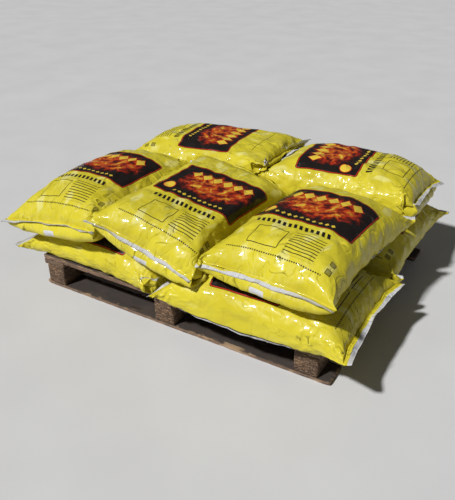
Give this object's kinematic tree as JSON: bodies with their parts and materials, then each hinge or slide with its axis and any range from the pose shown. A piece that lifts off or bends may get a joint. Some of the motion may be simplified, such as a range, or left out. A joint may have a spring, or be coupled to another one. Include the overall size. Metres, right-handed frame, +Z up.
{
  "type": "pallet of sacks",
  "caption": "Wooden block pallet loaded with glossy film sacks of solid fuel, laid flat in two crossed layers.",
  "frame": {"origin": "on the floor under the middle of the pallet, on the underside of the centre base board", "axes": "+X along the pallet's long front edge, +Y from the front into the depth, +Z up"},
  "size_m": [1.4025, 1.1909, 0.441],
  "materials": {
    "yellow_film": "glossy printed film, creased, with pale heat seals",
    "weathered_wood": "rough sawn boards, weathered brown",
    "pressed_chip": "pressed wood chip, coarse and matt"
  },
  "bodies": {
    "root": {"base_board_front": "weathered_wood", "base_board_centre": "weathered_wood", "base_board_back": "weathered_wood", "block_front_left": "pressed_chip", "block_front_middle": "pressed_chip", "block_front_right": "pressed_chip", "block_centre_left": "pressed_chip", "block_centre_middle": "pressed_chip", "block_centre_right": "pressed_chip", "block_back_left": "pressed_chip", "block_back_middle": "pressed_chip", "block_back_right": "pressed_chip", "stringer_board_left": "weathered_wood", "stringer_board_middle": "weathered_wood", "stringer_board_right": "weathered_wood", "deck_board_1": "weathered_wood", "deck_board_2": "weathered_wood", "deck_board_3": "weathered_wood", "deck_board_4": "weathered_wood", "deck_board_5": "weathered_wood", "deck_board_6": "weathered_wood", "deck_board_7": "weathered_wood", "sack_lower_front_left": "yellow_film", "sack_lower_front_right": "yellow_film", "sack_lower_back_left": "yellow_film", "sack_lower_back_middle": "yellow_film", "sack_lower_back_right": "yellow_film", "sack_upper_front_left": "yellow_film", "sack_upper_front_middle": "yellow_film", "sack_upper_front_right": "yellow_film", "sack_upper_back_left": "yellow_film", "sack_upper_back_right": "yellow_film"}
  },
  "joints": []
}
